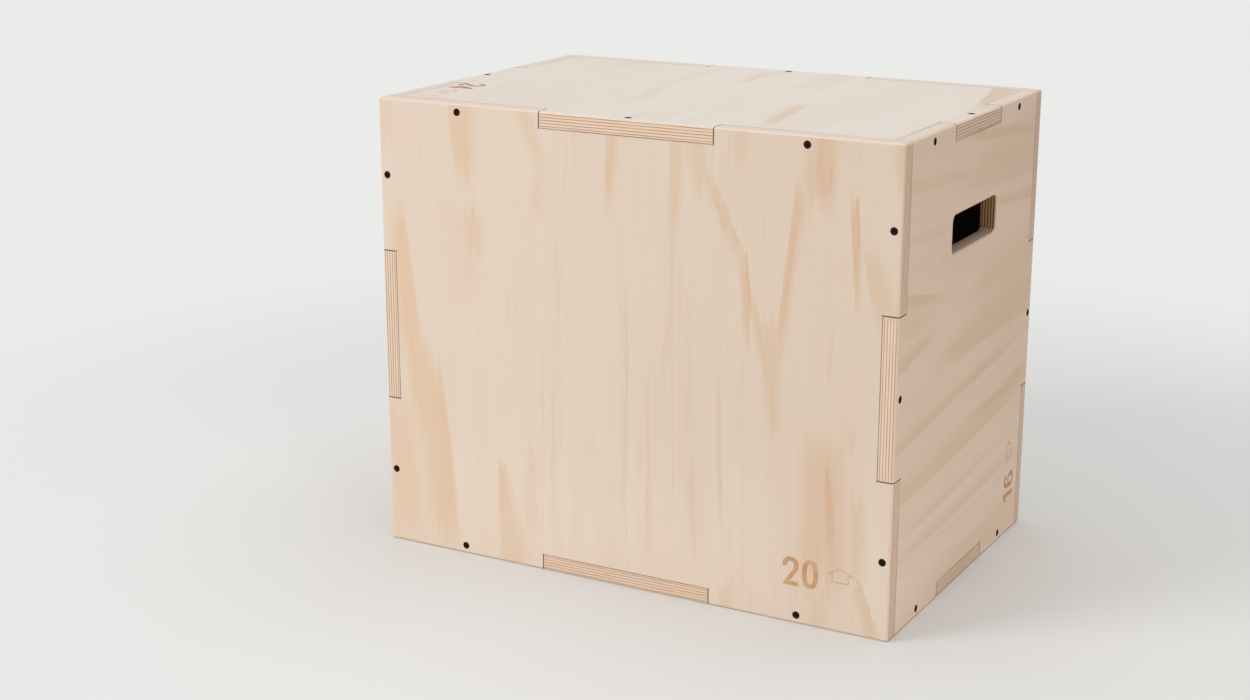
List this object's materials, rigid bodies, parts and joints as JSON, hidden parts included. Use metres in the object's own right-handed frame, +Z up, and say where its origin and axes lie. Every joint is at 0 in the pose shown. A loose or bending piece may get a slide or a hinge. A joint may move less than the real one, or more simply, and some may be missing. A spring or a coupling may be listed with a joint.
{
  "type": "plyo box",
  "caption": "Rectangular plywood jump box with interlocking tabbed edges, sunk wood screws and a hand hole in each end; it stands on any face for a choice of step heights.",
  "frame": {"origin": "centre of the underside", "axes": "+Z up, +X along the width towards the right end, -Y towards the front face"},
  "size_m": [0.6096, 0.4064, 0.508],
  "materials": {
    "plywood": "sanded, bare to satin",
    "screw": "black, semi-matt"
  },
  "bodies": {
    "root": {"front_panel": "plywood", "back_panel": "plywood", "left_panel": "plywood", "right_panel": "plywood", "top_panel": "plywood", "bottom_panel": "plywood", "front_top_screws": "screw", "front_bottom_screws": "screw", "front_left_screws": "screw", "front_right_screws": "screw", "back_top_screws": "screw", "back_bottom_screws": "screw", "back_left_screws": "screw", "back_right_screws": "screw", "left_top_screws": "screw", "left_bottom_screws": "screw", "left_tab_screws": "screw", "right_top_screws": "screw", "right_bottom_screws": "screw", "right_tab_screws": "screw", "top_long_tab_screws": "screw", "top_short_tab_screws": "screw", "bottom_long_tab_screws": "screw", "bottom_short_tab_screws": "screw"}
  },
  "joints": []
}
